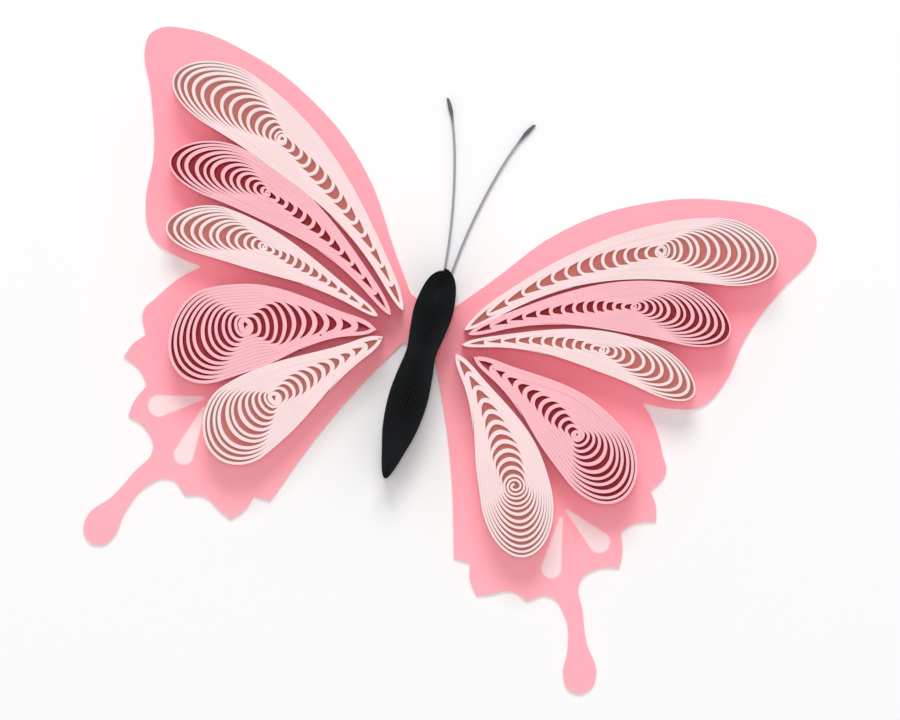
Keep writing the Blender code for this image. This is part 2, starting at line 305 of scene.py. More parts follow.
@dataclass(frozen=True)
class PaperFinish:
    """Dyed quilling paper: soft fibres, a cut edge with a tone of its own, and thin walls.

    A wall has its colour at the top and a darker colour at the bottom, which is painted shade for
    the dim foot of the gaps. The walls between turns carry painted light, an emission that stands
    in for the light that passes through the paper and back and forth between its turns. The plate
    on a coil's floor has a colour that is painted shade and a light of its own that is painted
    light.
    """

    name: str
    colour: Colour
    edge: Colour
    # Painted shade and painted light: the next four colours darken the foot of the walls, light
    # the walls between turns, and colour and light the plate on a coil's floor.
    deep_shade: Colour
    painted_glow: Colour
    shade_film: Colour
    shade_film_painted_glow: Colour
    bottom: float
    top: float
    roughness: float = 0.75
    roughness_spread: float = 0.2
    gloss: float = 0.25
    mottle: float = 0.05
    painted_glow_depth: float = 0.7 * MM
    fibre: float = 0.07 * MM
    blotch: float = 1.6 * MM
    relief: float = 0.012 * MM

    def material(self, inner: bool = False) -> bpy.types.Material:
        """Make the material.

        Args:
            inner: Whether it is for walls between two turns, which carry painted light.

        Returns:
            The paper's material, coloured by height, darker at the foot as painted shade, and by
            whether it is a cut edge.
        """
        shader = Shader(f"{self.name} inside" if inner else self.name)
        height = shader.axes(shader.place())[2]
        fibres = shader.noise(self.fibre)
        blotches = shader.noise(self.blotch, BLOTCH_DETAIL)
        # Painted shade: the walls darken towards the card.
        wall = shader.blend(height.ramp(self.bottom, self.top), self.deep_shade, self.colour)
        cut = shader.facing_up().ramp(SIDE_FACING, FLAT_FACING)
        tone = shader.blend(cut, wall, self.edge)
        level = varied(1.0, self.mottle, fibres, blotches)
        inputs = {
            "Base Color": shader.shaded(tone, level),
            "Roughness": varied(self.roughness, self.roughness_spread, fibres).held(),
            "Specular IOR Level": self.gloss,
            "Normal": shader.bump(fibres, self.relief),
        }
        # Painted light: walls between turns glow, more so below the top, in place of light bounced
        # between them.
        if inner:
            below = height.ramp(self.top, self.top - self.painted_glow_depth)
            inputs["Emission Color"] = shader.shaded(self.painted_glow, below * level)
            inputs["Emission Strength"] = 1.0
        return shader.finish(inputs)

    def shade_film_material(self) -> bpy.types.Material:
        """Make the material of the plate on a coil's floor, whose colour is painted shade and
        whose light is painted light in the gaps between turns.
        """
        shader = Shader(f"{self.name} glue film")
        level = varied(1.0, self.mottle, shader.noise(self.blotch, BLOTCH_DETAIL))
        return shader.finish({
            "Base Color": shader.shaded(self.shade_film, level),
            "Roughness": self.roughness,
            "Specular IOR Level": self.gloss,
            "Emission Color": shader.shaded(self.shade_film_painted_glow, level),
            "Emission Strength": 1.0,
        })


@dataclass(frozen=True)
class PaperSet:
    """A coil's materials: for open sides, for walls between turns, which carry painted light, and
    for the plate of painted shade under the coil.
    """

    outer: bpy.types.Material
    inner: bpy.types.Material
    shade_film: bpy.types.Material

    @classmethod
    def of(cls, finish: PaperFinish) -> "PaperSet":
        """Make all three materials of a finish."""
        return cls(finish.material(), finish.material(inner=True), finish.shade_film_material())


@dataclass(frozen=True)
class Spot:
    """A pale printed teardrop on the card, given for the right wing."""

    tip: Point
    end: Point
    end_radius: float
    tip_radius: float

    def mask(self, shader: Shader, softness: float) -> Value:
        """Mark the spot and its mirror image.

        Args:
            shader: The card's shader.
            softness: How far the print's edge fades.

        Returns:
            1 on the spot and 0 off it.
        """
        x, y, _ = shader.axes(shader.place())
        run = Vector(self.end) - Vector(self.tip)
        across, along = abs(x) - self.tip[0], y - self.tip[1]
        travel = ((across * run.x + along * run.y) / run.length_squared).held()
        away = shader.maths("POWER", across - travel * run.x, 2) + shader.maths(
            "POWER", along - travel * run.y, 2
        )
        reach = self.tip_radius + travel * (self.end_radius - self.tip_radius)
        return (shader.maths("SQRT", away) - reach).ramp(softness, -softness)


@dataclass(frozen=True)
class CardFinish:
    """Smooth pink card with a fine tooth, a paler cut edge and pale printed spots.

    Its faint red emission is painted light, which keeps its shaded parts warm in place of light
    bounced off the pink paper.
    """

    name: str
    fore: Colour
    tail: Colour
    cut_edge: Colour
    spot_colour: Colour
    spots: tuple[Spot, ...]
    fore_place: float
    tail_place: float
    painted_glow: Colour
    roughness: float = 0.82
    roughness_spread: float = 0.15
    gloss: float = 0.25
    mottle: float = 0.05
    fibre: float = 0.09 * MM
    blotch: float = 2.4 * MM
    relief: float = 0.014 * MM
    spot_softness: float = 0.10 * MM

    def material(self) -> bpy.types.Material:
        """Make the material.

        Returns:
            The card's material, a little paler towards the tails.
        """
        shader = Shader(self.name)
        _, along, _ = shader.axes(shader.place())
        fibres = shader.noise(self.fibre)
        blotches = shader.noise(self.blotch, BLOTCH_DETAIL)
        tone = shader.blend(along.ramp(self.fore_place, self.tail_place), self.fore, self.tail)
        for spot in self.spots:
            tone = shader.blend(spot.mask(shader, self.spot_softness), tone, self.spot_colour)
        side = abs(shader.facing_up()).ramp(FLAT_FACING, SIDE_FACING)
        tone = shader.blend(side, tone, self.cut_edge)
        level = varied(1.0, self.mottle, fibres, blotches)
        return shader.finish({
            "Base Color": shader.shaded(tone, level),
            "Roughness": varied(self.roughness, self.roughness_spread, fibres).held(),
            "Specular IOR Level": self.gloss,
            "Normal": shader.bump(fibres, self.relief),
            # Painted light: a faint red emission all over the card.
            "Emission Color": shader.shaded(self.painted_glow, level),
            "Emission Strength": 1.0,
        })


@dataclass(frozen=True)
class FeelerFinish:
    """Fine grey card, darker where it swells at the tip."""

    name: str
    stem: Colour
    tip: Colour
    stem_place: float
    tip_place: float
    roughness: float = 0.75
    roughness_spread: float = 0.2
    gloss: float = 0.3
    mottle: float = 0.25
    fibre: float = 0.06 * MM
    relief: float = 0.01 * MM

    def material(self) -> bpy.types.Material:
        """Make the material.

        Returns:
            The feelers' material.
        """
        shader = Shader(self.name)
        _, along, _ = shader.axes(shader.place())
        fibres = shader.noise(self.fibre)
        tone = shader.blend(along.ramp(self.stem_place, self.tip_place), self.stem, self.tip)
        return shader.finish({
            "Base Color": shader.shaded(tone, varied(1.0, self.mottle, fibres)),
            "Roughness": varied(self.roughness, self.roughness_spread, fibres).held(),
            "Specular IOR Level": self.gloss,
            "Normal": shader.bump(fibres, self.relief),
        })


class Wobble:
    """A smooth unevenness, the same on each run."""

    WAVES = 4
    RATE_SPREAD = (0.5, 1.6)

    def __init__(self, seed: int, rate: float) -> None:
        """Draw the waves.

        Args:
            seed: What the draw starts from.
            rate: About how many waves pass in a unit.
        """
        draw = random.Random(seed)
        self.waves = [
            (rate * draw.uniform(*self.RATE_SPREAD), draw.uniform(0, math.tau))
            for _ in range(self.WAVES)
        ]

    def at(self, place: float) -> float:
        """Give the unevenness, from -1 to 1, at a place."""
        waves = (math.sin(math.tau * rate * place + phase) for rate, phase in self.waves)
        return sum(waves) / self.WAVES


class Station(NamedTuple):
    """One place along a strip: where its middle is, how high it stands and how thick it is."""

    x: float
    y: float
    top: float
    thickness: float


@dataclass(frozen=True)
class ShadeFilm:
    """A thin plate between a coil and the card, inside the outermost turn, coloured as painted
    shade for the floor between the turns.
    """

    outline: Sequence[Point]
    bottom: float
    depth: float = 0.02 * MM

    def corners(self) -> list[tuple[float, float, float]]:
        """Give the corners, first those of the lower face."""
        levels = (self.bottom, self.bottom + self.depth)
        return [(x, y, level) for level in levels for x, y in self.outline]

    def faces(self, first: int) -> list[tuple[int, ...]]:
        """Give the faces.

        Args:
            first: The number of the plate's first corner in the mesh.

        Returns:
            The corners of the lower, the upper and the side faces.
        """
        lower = list(range(first, first + len(self.outline)))
        upper = [corner + len(self.outline) for corner in lower]
        sides = zip(lower, lower[1:] + lower[:1], upper[1:] + upper[:1], upper)
        return [tuple(reversed(lower)), tuple(upper), *sides]


@dataclass(frozen=True)
class PaperStrip:
    """A strip of paper that stands on its edge and is wound from the outside in.

    Each section of it has four sides: 0 is the left wall, 1 the upper edge, 2 the right wall and
    3 the lower edge. The outward wall of the lap and of the first turn faces the open.
    """

    SIDES: ClassVar[int] = 4
    LEFT_WALL: ClassVar[int] = 0
    RIGHT_WALL: ClassVar[int] = 2
    OUTER, INNER, FILM = range(3)
    node: str
    bottom: float
    clockwise: bool
    lap: int
    points_a_turn: int
    miter_limit: float = 1.8
    fold_limit: float = 0.05
    sharp_angle: float = math.radians(50)

    def build(self, stations: Sequence[Station], papers: PaperSet, slot: str) -> None:
        """Make the strip with the plate of painted shade under it, dress it and put it in the
        solid's place.

        Args:
            stations: Places along the strip, from its outer end to its inner one.
            papers: Its materials.
            slot: The record's name for the finish.
        """
        outer_end = self.lap + self.points_a_turn
        outline = [(station.x, station.y) for station in stations[self.lap:outer_end]]
        shade_film = ShadeFilm(outline[::-1] if self.clockwise else outline, self.bottom)
        open_side = self.LEFT_WALL if self.clockwise else self.RIGHT_WALL
        corners = []
        for (x, y, top, _), (off_x, off_y) in zip(stations, self.offsets(stations)):
            for side, level in ((1, self.bottom), (1, top), (-1, top), (-1, self.bottom)):
                corners.append((x + side * off_x, y + side * off_y, level))
        faces, slots = [tuple(reversed(range(self.SIDES)))], [self.OUTER]
        for section in range(len(stations) - 1):
            base = self.SIDES * section
            ahead = base + self.SIDES
            for side in range(self.SIDES):
                turned = (side + 1) % self.SIDES
                faces.append((base + side, base + turned, ahead + turned, ahead + side))
                wall = side in (self.LEFT_WALL, self.RIGHT_WALL)
                faces_out = side == open_side and section < outer_end
                slots.append(self.INNER if wall and not faces_out else self.OUTER)
        faces.append(tuple(range(len(corners) - self.SIDES, len(corners))))
        slots.append(self.OUTER)
        plate = shade_film.faces(len(corners))
        corners += shade_film.corners()
        faces += plate
        slots += [self.FILM] * len(plate)
        name = f"{self.node}_strip"
        mesh = bpy.data.meshes.new(name)
        mesh.from_pydata(corners, [], faces)
        for material in (papers.outer, papers.inner, papers.shade_film):
            mesh.materials.append(material)
        mesh.polygons.foreach_set("material_index", slots)
        mesh.shade_smooth()
        mesh.set_sharp_from_angle(angle=self.sharp_angle)
        coil = bpy.data.objects.new(name, mesh)
        bpy.context.scene.collection.objects.link(coil)
        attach(coil, BODY_NAME)
        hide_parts(self.node)
        LOG.info("%s: wound in %d sections, in %s", name, len(stations), slot)

    def offsets(self, stations: Sequence[Station]) -> Iterator[Point]:
        """Work out how far each side lies from the middle.

        Args:
            stations: Places along the strip.

        Yields:
            The step from the middle to the left side.
        """
        spots = [Vector((station.x, station.y)) for station in stations]
        for place, here in enumerate(spots):
            before, after = spots[max(place - 1, 0)], spots[min(place + 1, len(spots) - 1)]
            into = (here - before).normalized() if place else (after - here).normalized()
            out = (after - here).normalized() if place < len(spots) - 1 else into
            both = into + out
            middle = both.normalized() if both.length > self.fold_limit else into
            stretch = 1.0 / max(middle.dot(out), 1.0 / self.miter_limit)
            reach = stations[place].thickness / 2 * stretch
            yield -middle.y * reach, middle.x * reach


class Winding(NamedTuple):
    """How one teardrop coil is wound.

    Beside the turns and the smaller ones at the eye, all are shares: the bow of the middle line,
    the fullness of the flanks, the places of the widest part and the eye, the rounding of the far
    end, the skew of its arcs and how they are packed towards the eye, the width of the open column
    behind the eye, how far it closes at the eye, and how it drifts and sways to one side.
    """

    turns: int
    eye_turns: int
    bow: float
    fullness: float
    widest: float
    eye: float
    shoulder: float
    skew: float
    packing: float
    column: float
    closing: float
    drift: float
    sway: float


@dataclass
class TeardropCoil:
    """One strip wound round an eye and pinched at the end that faces the body."""

    node: str
    winding: Winding
    bottom: float
    top: float
    seed: int
    paper_share: float = 0.95
    filled_share: float = 0.47
    thickest_fold_share: float = 2.1
    thickest_share: float = 3.4
    fold_power: int = 4
    torn_share: float = 0.06
    torn_thickness: float = 0.15
    points_a_turn: int = 120
    rounding_share: float = 0.16
    pinch_share: float = 0.15
    pinch_run_share: float = 0.04
    even_fold_share: float = 0.55
    tip_column: float = 0.05 * MM
    column_power: float = 1.2
    closing_start: float = 0.70
    blunt_share: float = 1.15
    eye_radius: float = 0.13 * MM
    lap_share: float = 0.2
    thinnest_band: float = 0.02 * MM
    fewest_turns: float = 0.001
    looseness: float = 0.25
    step_rate: float = 0.35
    rise_rate: float = 0.9
    unevenness: float = 0.035 * MM
    eye_drop: float = 0.08 * MM
    steps: int = 24
    fitting_rounds: int = 4
    axis_search: float = math.radians(12)

    def __post_init__(self) -> None:
        """Measure the solid that the coil replaces and pack the turns into it."""
        spots = plan_points(self.node)
        self.tip = min(spots, key=lambda spot: spot.length)
        self.length = max((spot - self.tip).length for spot in spots)
        for _ in range(self.fitting_rounds):
            self.bow = self.length * self.winding.bow
            self.lay_axis(spots)
            flat = [self.flattened(spot) for spot in spots]
            self.length = max(along for along, _ in flat)
        self.width = max(across for _, across in flat) - min(across for _, across in flat)
        self.eye = self.winding.eye * self.length
        self.column = self.winding.column * self.width / 2
        self.eye_reach = self.blunt_share * self.column_width(self.eye)
        self.eye_radius = min(self.eye_radius, self.eye_reach / 2)
        self.pitch = self.band(self.eye) / self.winding.turns
        self.rises = Wobble(self.seed, self.rise_rate)
        self.steps_along = Wobble(self.seed + 1, self.step_rate)

    def lay_axis(self, spots: Sequence[Vector]) -> None:
        """Swing the axis about the tip until the solid reaches equally far on both sides.

        Args:
            spots: The solid's corners from above.
        """
        mirror = 1 if self.tip.x > 0 else -1
        far_end = max(spots, key=lambda spot: (spot - self.tip).length) - self.tip
        heading = math.atan2(far_end.y, mirror * far_end.x)
        low, high = heading - self.axis_search, heading + self.axis_search
        for _ in range(self.steps):
            middle = (low + high) / 2
            self.run = Vector((mirror * math.cos(middle), math.sin(middle)))
            self.up = Vector((-mirror * math.sin(middle), math.cos(middle)))
            sides = [self.flattened(spot)[1] for spot in spots]
            if max(sides) + min(sides) > 0:
                low = middle
            else:
                high = middle

    def flattened(self, spot: Vector) -> Point:
        """Find a place along and beside the bowed middle line.

        Args:
            spot: A place in the frame, from above.

        Returns:
            Its distance along the axis and its distance above the middle line.
        """
        forward, upward = (spot - self.tip).dot(self.run), (spot - self.tip).dot(self.up)
        along = forward
        for _ in range(self.fitting_rounds):
            rise, slope = self.rise(along)
            across = (upward - rise) * math.hypot(1.0, slope)
            along = forward + across * slope / math.hypot(1.0, slope)
        eye = self.winding.eye * self.length
        lean = self.winding.skew * across / (self.length - eye)
        return (along - lean * eye) / (1 - lean) if along > eye else along, across

    def rise(self, along: float) -> Point:
        """Height and slope of the bowed middle line at a place along it."""
        travel = along / self.length
        return 4 * self.bow * travel * (1 - travel), 4 * self.bow / self.length * (1 - 2 * travel)

    def half_width(self, along: float) -> float:
        """Half the coil's width at a place along it.

        Args:
            along: Distance from the tip.

        Returns:
            The outermost turn's distance from the middle line.
        """
        share = max(along / (self.winding.widest * self.length), 0.0)
        pinched = 1.0 - math.exp(-share / self.pinch_run_share)
        start = 1 - self.rounding_share
        past = min(max(share - start, 0.0), 2 * self.rounding_share)
        opening, slope = self.opening(min(share, start))
        opening += slope * (past - past ** 2 / (4 * self.rounding_share))
        full, full_slope = self.opening(start)
        opening /= full + self.rounding_share * full_slope
        return self.width / 2 * (self.pinch_share * pinched + (1 - self.pinch_share) * opening)

    def opening(self, share: float) -> Point:
        """How far a teardrop has opened, and how fast it opens, at a share of its opening run."""
        plain, plain_slope = (share + share ** 2) / 2, 0.5 + share
        full, full_slope = eased(share), 6 * share * (1 - share)
        fullness = self.winding.fullness
        opened = plain + fullness * (full - plain)
        return opened, plain_slope + fullness * (full_slope - plain_slope)

    def column_width(self, along: float) -> float:
        """Half width of the open column behind the eye at a place along the coil."""
        share = max(along, 0.0) / self.eye
        opened = self.tip_column + (self.column - self.tip_column) * share ** self.column_power
        closed = eased((share - self.closing_start) / (1 - self.closing_start))
        return opened * (1 - self.winding.closing * closed)

    def band(self, along: float) -> float:
        """Thickness of all the turns beside the column at a place along the coil."""
        place = min(along, self.eye - self.eye_reach)
        return max(self.half_width(place) - self.column_width(place), self.thinnest_band)

    def turns_beside(self, along: float) -> float:
        """How many turns lie beside the column at a place along the coil."""
        travel = min(max(along / (self.eye - self.eye_reach), 0.0), 1.0)
        even = self.even_fold_share
        return self.winding.turns * (even * travel + (1 - even) * travel ** 2)

    def step_beside(self, along: float) -> float:
        """How far apart the turns lie there."""
        return self.band(along) / max(self.turns_beside(along), 1.0)

    def tip_place(self, turn: float) -> float:
        """Where a turn starts behind the tip.

        Args:
            turn: How many turns in from the outside.

        Returns:
            Its distance from the tip.
        """
        if turn <= 0:
            return 0.0
        if turn >= self.winding.turns:
            return self.eye - self.eye_loop(turn)
        even = self.even_fold_share
        root = math.sqrt(even ** 2 + 4 * (1 - even) * turn / self.winding.turns)
        return (self.eye - self.eye_reach) * (root - even) / (2 * (1 - even))

    def end_place(self, turn: float) -> float:
        """Where a turn crosses the middle line beyond the eye.

        Args:
            turn: How many turns in from the outside.

        Returns:
            Its distance from the tip.
        """
        if turn >= self.winding.turns:
            return self.eye + self.eye_loop(turn)
        inward = max(turn - HALF_TURN, 0.0) / (self.winding.turns - HALF_TURN)
        stepped = inward + self.winding.packing * (eased(inward) - inward)
        span = self.length - self.eye - self.eye_reach
        loose = self.looseness * self.steps_along.at(turn) * math.sin(math.pi * inward)
        return self.length - span * stepped + loose * span / self.winding.turns

    def eye_loop(self, turn: float) -> float:
        """Half length of the small loops at the eye."""
        inward = min((turn - self.winding.turns) / self.winding.eye_turns, 1.0)
        return self.eye_reach + (self.eye_radius - self.eye_reach) * inward

    def packed(self, turn: float, along: float) -> float:
        """How far a turn's flanks lie inside the outline at a place along the coil."""
        inward = max(turn - self.winding.turns, 0.0) / self.winding.eye_turns
        left = self.column_width(self.eye) - self.eye_radius
        return self.band(along) * self.filled(turn, along) + left * inward

    def spot(self, turn: float, angle: float) -> tuple[Point, float]:
        """Place a point of the strip.

        Args:
            turn: How many turns in from the outside.
            angle: From 0 at the tip over the upper flank to pi at the far end, and on to two pi.

        Returns:
            Its X and Y, and how wide the turns are spaced there, as a share of the pitch.
        """
        tip, end = self.tip_place(turn), self.end_place(turn)
        inward = min(max(turn / self.winding.turns, 0.0), 1.0)
        shoulder = self.length * (1 - self.winding.shoulder) * (1 - inward) + self.eye * inward
        along = tip + (end - tip) * (1 - math.cos(angle)) / 2
        loop = self.eye_loop(max(turn, self.winding.turns))
        behind = self.blunt_share * self.column_width(tip) * (1 - inward) + loop * inward
        width = self.half_width(along) - self.packed(turn, along)
        width *= rounded((along - tip) / behind) * rounded((end - along) / (end - shoulder))
        side = 1 if angle < math.pi else -1
        lean = self.column_lean(along)
        across = side * width + lean * self.band(along) * self.filled(turn, along)
        past_eye = max(along - self.eye, 0.0) / (self.length - self.eye)
        place = self.bowed(along - self.winding.skew * across * past_eye, across)
        return place, (1 - side * lean) * self.step_beside(along) / self.pitch

    def filled(self, turn: float, along: float) -> float:
        """Share of the turns beside the column at a place that lie outside this one."""
        return min(max(turn / max(self.turns_beside(along), self.fewest_turns), 0.0), 1.0)

    def column_lean(self, along: float) -> float:
        """How far the column behind the eye leans to the upper side, as a share of the band."""
        share = min(max(along / self.eye, 0.0), 1.0)
        return self.winding.drift * share + self.winding.sway * 4 * share * (1 - share)

    def thickness(self, turn: float, angle: float, spacing: float) -> float:
        """How thick the paper looks, which is less where turns press on each other.

        Args:
            turn: How many turns in from the outside.
            angle: Where on the turn.
            spacing: How wide the turns are spaced there, as a share of the pitch.

        Returns:
            The strip's thickness.
        """
        place = self.end_place if math.cos(angle) < 0 else self.tip_place
        step = abs(place(turn + HALF_TURN) - place(max(turn - HALF_TURN, 0.0)))
        loose = min(max(self.filled_share * step / self.pitch, 1.0), self.thickest_fold_share)
        share = spacing + (loose - spacing) * math.cos(angle) ** self.fold_power
        torn = min((turn + self.lap_share) / self.torn_share, 1.0)
        left = self.torn_thickness + (1 - self.torn_thickness) * torn
        return self.paper_share * self.pitch * min(share, self.thickest_share) * left

    def bowed(self, along: float, across: float) -> Point:
        """Place a point beside the bowed middle line.

        Args:
            along: Distance from the tip.
            across: Distance above the middle line.

        Returns:
            Its X and Y in the frame.
        """
        rise, slope = self.rise(along)
        norm = math.hypot(1.0, slope)
        forward, upward = along - across * slope / norm, rise + across / norm
        place = self.tip + forward * self.run + upward * self.up
        return place.x, place.y

    def build(self, papers: PaperSet, slot: str) -> None:
        """Wind the strip in its papers, for the record's slot."""
        turns = self.winding.turns + self.winding.eye_turns
        lap = round(self.lap_share * self.points_a_turn)
        stations = []
        for step in range(-lap, turns * self.points_a_turn + 1):
            turn = step / self.points_a_turn
            angle = math.tau * (turn % 1.0)
            (x, y), spacing = self.spot(turn, angle)
            sunk = self.eye_drop * max(turn / turns, 0.0) ** 2
            top = self.top - self.unevenness * (1 + self.rises.at(turn)) - sunk
            stations.append(Station(x, y, top, self.thickness(turn, angle, spacing)))
        strip = PaperStrip(self.node, self.bottom, self.tip.x > 0, lap, self.points_a_turn)
        strip.build(stations, papers, slot)


def eased(share: float) -> float:
    """Rise smoothly from 0 to 1 as the share does, and hold beyond."""
    held = min(max(share, 0.0), 1.0)
    return 3 * held ** 2 - 2 * held ** 3


def rounded(share: float) -> float:
    """Height of a quarter ellipse at a share of its run, and 1 beyond it."""
    return math.sqrt(max(0.0, 1 - (1 - min(max(share, 0.0), 1.0)) ** 2))


class Side(Enum):
    """Which wing a piece belongs to."""

    LEFT = "left"
    RIGHT = "right"


class Tone(Enum):
    """The two pinks of the wing coils, by the record's slot."""

    PALE = "pale_pink_paper"
    MIDDLE = "mid_pink_paper"


COIL_TONES = {
    "fore_top_coil": Tone.PALE,
    "fore_middle_coil": Tone.MIDDLE,
    "fore_low_coil": Tone.PALE,
    "hind_outer_coil": Tone.MIDDLE,
    "hind_inner_coil": Tone.PALE,
}

SIDE_SEEDS = {Side.RIGHT: 0, Side.LEFT: 5}
SEED_STEP = 10

# From the top coil to the inner one: turns, eye turns, bow, fullness, widest, eye, shoulder,
# skew, packing, column, closing, drift, sway
WINDINGS = {
    Side.RIGHT: (
        Winding(14, 2, 0.112, 0.3, 0.78, 0.65, 0.16, 0.30, 0.50, 0.35, 0.60, 0.05, 0.00),
        Winding(13, 2, 0.092, 1.2, 0.78, 0.63, 0.19, 0.40, 0.10, 0.27, 0.75, 0.05, 0.00),
        Winding(11, 2, 0.088, 1.3, 0.74, 0.58, 0.18, 0.45, 0.30, 0.33, 0.75, 0.10, 0.10),
        Winding(11, 2, 0.066, 1.3, 0.68, 0.62, 0.23, 0.15, 0.40, 0.33, 0.75, 0.00, 0.00),
        Winding(11, 2, 0.074, 1.3, 0.66, 0.67, 0.26, 0.00, 0.30, 0.46, 0.45, 0.05, 0.00),
    ),
    Side.LEFT: (
        Winding(14, 2, 0.094, 1.2, 0.80, 0.63, 0.17, 0.35, 0.50, 0.29, 0.60, 0.00, 0.00),
        Winding(12, 2, 0.094, 1.2, 0.78, 0.63, 0.19, 0.40, 0.10, 0.26, 0.75, 0.05, 0.05),
        Winding(12, 2, 0.050, 1.3, 0.76, 0.57, 0.18, 0.55, 0.20, 0.28, 0.75, 0.15, 0.15),
        Winding(11, 2, 0.076, 1.3, 0.70, 0.62, 0.20, 0.30, 0.20, 0.60, 0.80, 0.05, 0.00),
        Winding(11, 2, 0.024, 1.0, 0.74, 0.60, 0.20, 0.15, 0.30, 0.35, 0.65, 0.05, 0.05),
    ),
}


@dataclass
class WingFan:
    """The five coils of one wing."""

    side: Side
    bottom: float
    top: float

    def build(self, papers: Mapping[Tone, PaperSet]) -> None:
        """Wind all five coils, each in its tone's papers."""
        for place, (coil_name, tone) in enumerate(COIL_TONES.items()):
            node = f"{self.side.value}_{coil_name}"
            seed = SEED_STEP * place + SIDE_SEEDS[self.side]
            coil = TeardropCoil(node, WINDINGS[self.side][place], self.bottom, self.top, seed)
            coil.build(papers[tone], tone.value)


# Half width of the body at places from head to tail, as shares of half its width and its length
BODY_OUTLINE_SHARES = (
    (0.00, 0.00), (0.04, 0.62), (0.10, 0.86), (0.20, 1.00), (0.30, 0.89), (0.40, 0.75),
    (0.50, 0.89), (0.62, 1.00), (0.76, 0.87), (0.88, 0.54), (0.96, 0.28), (1.00, 0.00),
)


@dataclass
class BodyCoil:
    """The tight black coil that is pressed into the body."""

    node: str
    bottom: float
    top: float
    turns: int = 9
    points_a_turn: int = 96
    paper_share: float = 0.70
    pressed_share: float = 0.72
    end_step_share: float = 1.3
    unevenness: float = 0.04 * MM
    seed: int = 77
    rise_rate: float = 0.8
    lean: float = math.radians(1.2)

    def __post_init__(self) -> None:
        """Measure the solid that the body replaces."""
        upright = Matrix.Rotation(-self.lean, 2)
        across, along = zip(*(upright @ spot for spot in plan_points(self.node)))
        self.head, self.length = max(along), max(along) - min(along)
        self.middle, self.width = (min(across) + max(across)) / 2, max(across) - min(across)
        self.pitch = self.width / 2 / (self.turns + HALF_TURN)

    def outline(self, share: float) -> float:
        """Half width of the outline at a share of the length, as a share of its half width.

        Args:
            share: Place from the head to the tail.

        Returns:
            The share, eased between the listed ones.
        """
        swing = math.acos(1 - 2 * min(max(share, 0.0), 1.0))
        knots = [(math.acos(1 - 2 * place), width) for place, width in BODY_OUTLINE_SHARES]
        for place in range(len(knots) - 1):
            if swing <= knots[place + 1][0]:
                break
        (start, first), (end, last) = knots[place], knots[place + 1]
        past_head = -knots[1][0], -knots[1][1]
        past_tail = math.tau - knots[-2][0], -knots[-2][1]
        before = knots[place - 1] if place else past_head
        after = knots[place + 2] if place + 2 < len(knots) else past_tail
        lean_in = (last - before[1]) / (end - before[0]) * (end - start)
        lean_out = (after[1] - first) / (after[0] - start) * (end - start)
        travel = (swing - start) / (end - start)
        return (
            first * (1 - 3 * travel ** 2 + 2 * travel ** 3)
            + lean_in * (travel - 2 * travel ** 2 + travel ** 3)
            + last * (3 * travel ** 2 - 2 * travel ** 3)
            + lean_out * (travel ** 3 - travel ** 2)
        )

    def spot(self, turn: float, angle: float) -> Point:
        """Place a point of the strip.

        Args:
            turn: How many turns in from the outside.
            angle: From 0 at the head down one side to pi at the tail, and back to two pi.

        Returns:
            Its X and Y.
        """
        inset = turn * self.end_step_share * self.pitch
        share = (1 - math.cos(angle)) / 2
        pressed = turn * (self.pressed_share + (1 - self.pressed_share) * turn / self.turns)
        widest = max(self.width / 2 - (pressed + HALF_TURN) * self.pitch, 0.0)
        reach = self.outline(share) * (widest if angle < math.pi else -widest)
        along = self.head - inset - share * (self.length - 2 * inset)
        upright = Vector((self.middle + reach, along))
        return tuple(Matrix.Rotation(self.lean, 2) @ upright)

    def build(self, papers: PaperSet, slot: str) -> None:
        """Wind the body in its papers, for the record's slot."""
        rises = Wobble(self.seed, self.rise_rate)
        stations = []
        for step in range(self.turns * self.points_a_turn + 1):
            turn = step / self.points_a_turn
            place = self.spot(turn, math.tau * (turn % 1.0))
            top = self.top - self.unevenness * (1 + rises.at(turn))
            stations.append(Station(*place, top, self.paper_share * self.pitch))
        strip = PaperStrip(
            self.node, self.bottom, clockwise=True, lap=0, points_a_turn=self.points_a_turn
        )
        strip.build(stations, papers, slot)


@dataclass(frozen=True)
class WingCard:
    """The card that both wings are cut from, dressed in place."""

    node: str = "wing_card"
    spots: tuple[Spot, ...] = (
        Spot((14.1 * MM, -10.2 * MM), (17.0 * MM, -11.7 * MM), 0.80 * MM, 0.12 * MM),
        Spot((13.8 * MM, -10.9 * MM), (14.2 * MM, -14.6 * MM), 0.74 * MM, 0.12 * MM),
    )

    def dress(self) -> None:
        """Give the card its printed finish, with painted red light in its shade."""
        low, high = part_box(self.node)
        finish = CardFinish(
            "pink card",
            fore=(1.0, 0.42, 0.49),
            tail=(1.0, 0.47, 0.53),
            cut_edge=(1.0, 0.58, 0.63),
            spot_colour=(0.93, 0.80, 0.82),
            spots=self.spots,
            fore_place=high[1] / 2,
            tail_place=low[1],
            # Painted light: a faint red emission that warms the card's shade.
            painted_glow=(0.12, 0.0, 0.004),
        )
        paint(self.node, finish.material())


@dataclass(frozen=True)
class Feelers:
    """The two fine card feelers, dressed in place."""

    nodes: tuple[str, str] = ("left_antenna", "right_antenna")
    tip_length: float = 2.0 * MM

    def dress(self) -> None:
        """Give both feelers their grey."""
        tip_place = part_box(self.nodes[0])[1][1]
        finish = FeelerFinish(
            "grey card",
            stem=(0.36, 0.35, 0.40),
            tip=(0.13, 0.125, 0.16),
            stem_place=tip_place - self.tip_length,
            tip_place=tip_place - self.tip_length / 2,
        )
        material = finish.material()
        for node in self.nodes:
            paint(node, material)


def paint(node: str, material: bpy.types.Material) -> None:
    """Put a material on a solid that stays in view.

    Args:
        node: The solid's name.
        material: What its slots get.
    """
    solid = cad_node(node)
    if not solid.material_slots:
        solid.data.materials.append(material)
    for slot in solid.material_slots:
        slot.material = material
    LOG.info("%s: dressed in %s", node, material.name)


